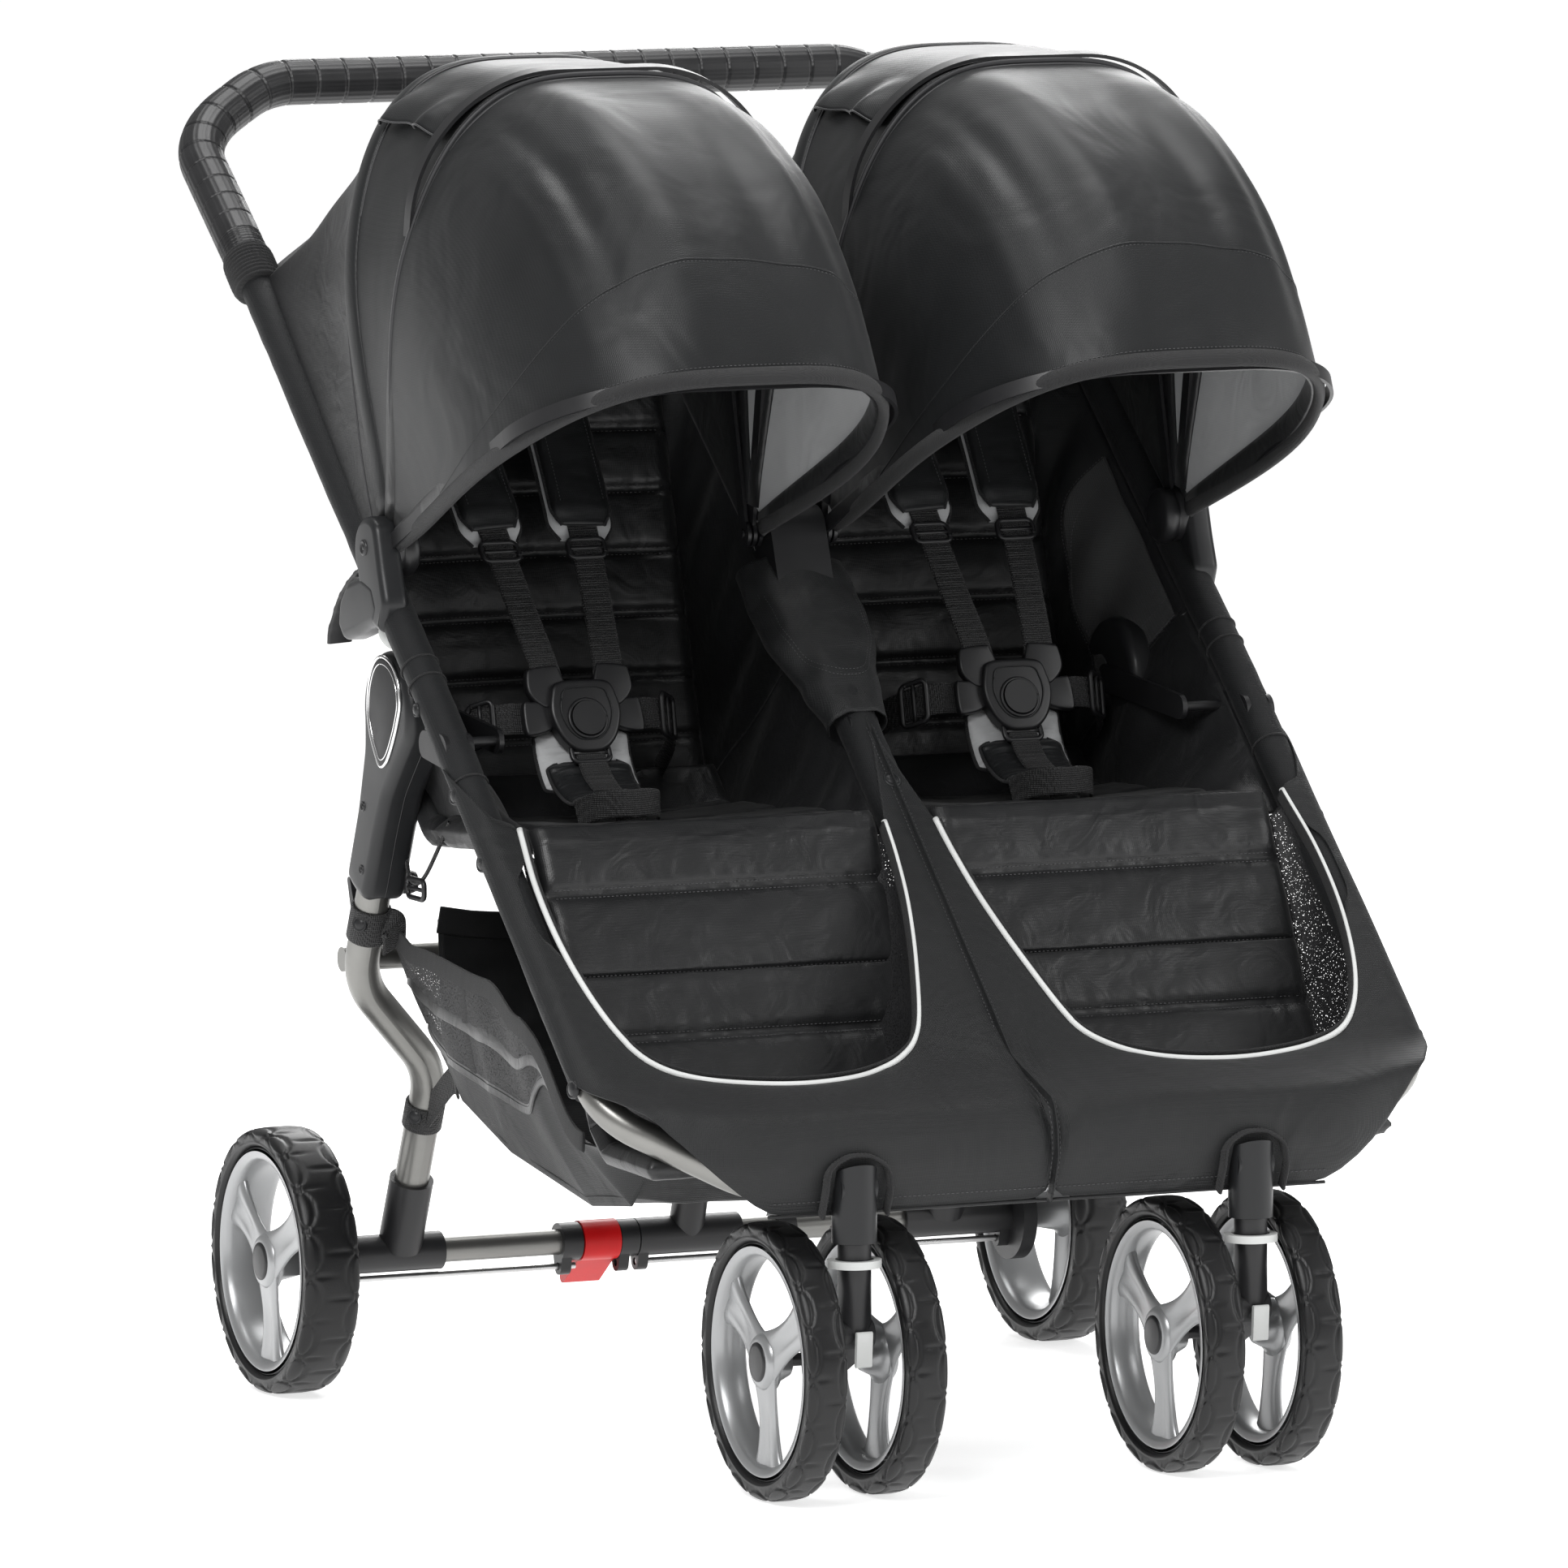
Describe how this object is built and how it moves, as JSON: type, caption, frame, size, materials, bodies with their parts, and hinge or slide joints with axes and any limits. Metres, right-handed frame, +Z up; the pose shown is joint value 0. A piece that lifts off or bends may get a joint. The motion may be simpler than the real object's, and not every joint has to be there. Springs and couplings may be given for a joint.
{
  "type": "twin stroller",
  "caption": "Side-by-side twin stroller with folding three-line frame, two canopied seats, twin-wheel swivel casters in front and single wheels behind.",
  "frame": {"origin": "centre of the overall footprint on the floor", "axes": "+Z up, -Y the front (foot end), +X the viewer's right from the front, across the two seats"},
  "size_m": [0.7298, 1.034, 1.09],
  "materials": {
    "black_plastic": "moulded, fine texture",
    "fabric_black": "woven polyester, slight sheen",
    "fabric_mesh": "open mesh and woven polyester",
    "frame_tube": "satin anodised tube",
    "grey_plastic": "light moulded",
    "grip_foam": "segmented grip",
    "pedal_red": "moulded",
    "rim_grey": "silver-grey moulded",
    "sleeved_tube": "tube inside a black fabric sleeve",
    "steel": "satin",
    "tyre_black": "closed-cell foam"
  },
  "bodies": {
    "front_frame": {"front_frame_tube": "sleeved_tube", "centre_lower_tube": "sleeved_tube", "lower_hinge_brackets": "black_plastic", "caster_sockets": "black_plastic", "seat_bases": "fabric_black", "calf_rests": "fabric_black", "crotch_pads": "fabric_black", "foot_cover": "fabric_black", "storage_basket": "fabric_mesh", "frame_snaps": "steel", "buckles": "black_plastic"},
    "handle_frame": {"upper_hinge_brackets": "black_plastic", "handle_tube": "frame_tube", "handle_grip": "grip_foam", "centre_upper_tube": "sleeved_tube", "canopy_hinges_outer": "black_plastic", "canopy_hinge_centre": "black_plastic", "canopy_rear_bows": "black_plastic", "canopy_rear_panels": "fabric_black", "accessory_brackets": "black_plastic", "side_panels": "fabric_black"},
    "rear_frame": {"rear_legs": "frame_tube", "hinge_covers": "black_plastic", "rear_cross_tube": "frame_tube", "rear_axle": "frame_tube", "axle_brackets": "black_plastic", "centre_strut": "frame_tube"},
    "hook": {"fold_hook": "black_plastic"},
    "pedal": {"brake_pedal": "pedal_red"},
    "backrest_left_body": {"backrest_left": "fabric_black", "shoulder_harness_left": "fabric_black"},
    "middle_bow_left": {"canopy_left_middle_bow": "black_plastic", "canopy_left_middle_panel": "fabric_black"},
    "front_bow_left": {"canopy_left_front_bow": "black_plastic", "canopy_left_visor": "fabric_black"},
    "caster_left": {"caster_fork_left": "black_plastic"},
    "swivel_lock_left_body": {"swivel_lock_left": "grey_plastic"},
    "wheel_release_left_body": {"wheel_release_left": "grey_plastic"},
    "caster_wheel_left_left_body": {"caster_wheel_left_left": "rim_grey"},
    "caster_wheel_left_right_body": {"caster_wheel_left_right": "rim_grey"},
    "rear_wheel_left": {"rear_rim_left": "rim_grey", "rear_tyre_left": "tyre_black"},
    "brake_rod_left_body": {"brake_rod_left": "steel"},
    "buckle_button_left_body": {"buckle_button_left": "black_plastic"},
    "backrest_right_body": {"backrest_right": "fabric_black", "shoulder_harness_right": "fabric_black"},
    "middle_bow_right": {"canopy_right_middle_bow": "black_plastic", "canopy_right_middle_panel": "fabric_black"},
    "front_bow_right": {"canopy_right_front_bow": "black_plastic", "canopy_right_visor": "fabric_black"},
    "caster_right": {"caster_fork_right": "black_plastic"},
    "swivel_lock_right_body": {"swivel_lock_right": "grey_plastic"},
    "wheel_release_right_body": {"wheel_release_right": "grey_plastic"},
    "caster_wheel_right_left_body": {"caster_wheel_right_left": "rim_grey"},
    "caster_wheel_right_right_body": {"caster_wheel_right_right": "rim_grey"},
    "rear_wheel_right": {"rear_rim_right": "rim_grey", "rear_tyre_right": "tyre_black"},
    "brake_rod_right_body": {"brake_rod_right": "steel"},
    "buckle_button_right_body": {"buckle_button_right": "black_plastic"}
  },
  "joints": [
    {"name": "frame_fold", "type": "hinge", "parent": "front_frame", "child": "handle_frame", "pos_m": [0, -0.071, 0.56], "axis": [1, 0, 0], "range_deg": [-133, 0], "deforming": ["seat_bases", "calf_rests", "crotch_pads", "storage_basket", "side_panels", "backrest_left", "backrest_right", "shoulder_harness_left", "shoulder_harness_right", "foot_cover"]},
    {"name": "rear_legs_fold", "type": "hinge", "parent": "front_frame", "child": "rear_frame", "pos_m": [0, 0.069, 0.571], "axis": [1, 0, 0], "range_deg": [-71, 0]},
    {"name": "recline_left", "type": "hinge", "parent": "handle_frame", "child": "backrest_left_body", "pos_m": [-0.158, 0.116, 0.48], "axis": [1, 0, 0], "range_deg": [-40, 0]},
    {"name": "canopy_middle_left", "type": "hinge", "parent": "handle_frame", "child": "middle_bow_left", "pos_m": [-0.188, 0.034, 0.704], "axis": [1, 0, 0], "range_deg": [-20, 0], "deforming": ["canopy_left_middle_panel"]},
    {"name": "canopy_front_left", "type": "hinge", "parent": "middle_bow_left", "child": "front_bow_left", "pos_m": [-0.188, 0.034, 0.704], "axis": [1, 0, 0], "range_deg": [-50, 0], "deforming": ["canopy_left_visor"]},
    {"name": "caster_swivel_left", "type": "hinge", "parent": "front_frame", "child": "caster_left", "pos_m": [-0.168, -0.468, 0.23], "axis": [0, 0, 1], "continuous": true},
    {"name": "swivel_lock_turn_left", "type": "hinge", "parent": "front_frame", "child": "swivel_lock_left_body", "pos_m": [-0.168, -0.468, 0.189], "axis": [0, 0, 1], "range_deg": [0, 30]},
    {"name": "wheel_release_press_left", "type": "hinge", "parent": "caster_left", "child": "wheel_release_left_body", "pos_m": [-0.168, -0.486, 0.136], "axis": [1, 0, 0], "range_deg": [-12, 0]},
    {"name": "caster_spin_left_left", "type": "hinge", "parent": "caster_left", "child": "caster_wheel_left_left_body", "pos_m": [-0.2098, -0.409, 0.108], "axis": [1, 0, 0], "continuous": true},
    {"name": "caster_spin_left_right", "type": "hinge", "parent": "caster_left", "child": "caster_wheel_left_right_body", "pos_m": [-0.1262, -0.409, 0.108], "axis": [1, 0, 0], "continuous": true},
    {"name": "rear_spin_left", "type": "hinge", "parent": "rear_frame", "child": "rear_wheel_left", "pos_m": [-0.34, 0.278, 0.108], "axis": [1, 0, 0], "continuous": true},
    {"name": "brake_push_left", "type": "slide", "parent": "rear_frame", "child": "brake_rod_left_body", "axis": [-1, 0, 0], "range_m": [0, 0.0201]},
    {"name": "buckle_press_left", "type": "slide", "parent": "front_frame", "child": "buckle_button_left_body", "axis": [0, 0.9272, -0.3746], "range_m": [0, 0.0012], "stiffness_N_per_m": 1200},
    {"name": "recline_right", "type": "hinge", "parent": "handle_frame", "child": "backrest_right_body", "pos_m": [0.158, 0.116, 0.48], "axis": [1, 0, 0], "range_deg": [-40, 0]},
    {"name": "canopy_middle_right", "type": "hinge", "parent": "handle_frame", "child": "middle_bow_right", "pos_m": [0.188, 0.034, 0.704], "axis": [1, 0, 0], "range_deg": [-20, 0], "deforming": ["canopy_right_middle_panel"]},
    {"name": "canopy_front_right", "type": "hinge", "parent": "middle_bow_right", "child": "front_bow_right", "pos_m": [0.188, 0.034, 0.704], "axis": [1, 0, 0], "range_deg": [-50, 0], "deforming": ["canopy_right_visor"]},
    {"name": "caster_swivel_right", "type": "hinge", "parent": "front_frame", "child": "caster_right", "pos_m": [0.168, -0.468, 0.23], "axis": [0, 0, 1], "continuous": true},
    {"name": "swivel_lock_turn_right", "type": "hinge", "parent": "front_frame", "child": "swivel_lock_right_body", "pos_m": [0.168, -0.468, 0.189], "axis": [0, 0, 1], "range_deg": [0, 30]},
    {"name": "wheel_release_press_right", "type": "hinge", "parent": "caster_right", "child": "wheel_release_right_body", "pos_m": [0.168, -0.486, 0.136], "axis": [1, 0, 0], "range_deg": [-12, 0]},
    {"name": "caster_spin_right_left", "type": "hinge", "parent": "caster_right", "child": "caster_wheel_right_left_body", "pos_m": [0.1262, -0.409, 0.108], "axis": [1, 0, 0], "continuous": true},
    {"name": "caster_spin_right_right", "type": "hinge", "parent": "caster_right", "child": "caster_wheel_right_right_body", "pos_m": [0.2098, -0.409, 0.108], "axis": [1, 0, 0], "continuous": true},
    {"name": "rear_spin_right", "type": "hinge", "parent": "rear_frame", "child": "rear_wheel_right", "pos_m": [0.34, 0.278, 0.108], "axis": [1, 0, 0], "continuous": true},
    {"name": "brake_push_right", "type": "slide", "parent": "rear_frame", "child": "brake_rod_right_body", "axis": [1, 0, 0], "range_m": [0, 0.0201]},
    {"name": "buckle_press_right", "type": "slide", "parent": "front_frame", "child": "buckle_button_right_body", "axis": [0, 0.9272, -0.3746], "range_m": [0, 0.0012], "stiffness_N_per_m": 1200},
    {"name": "pedal_press", "type": "hinge", "parent": "rear_frame", "child": "pedal", "pos_m": [-0.067, 0.278, 0.108], "axis": [1, 0, 0], "range_deg": [-25, 0]},
    {"name": "hook_turn", "type": "hinge", "parent": "rear_frame", "child": "hook", "pos_m": [-0.319, 0.16798, 0.404], "axis": [1, 0, 0], "range_deg": [-40, 0]}
  ],
  "couplings": [
    {"joint": "rear_legs_fold", "follows": "frame_fold", "ratio": 0.5263},
    {"joint": "brake_push_left", "follows": "pedal_press", "m_per_rad": -0.0458},
    {"joint": "brake_push_right", "follows": "pedal_press", "m_per_rad": -0.0458}
  ]
}
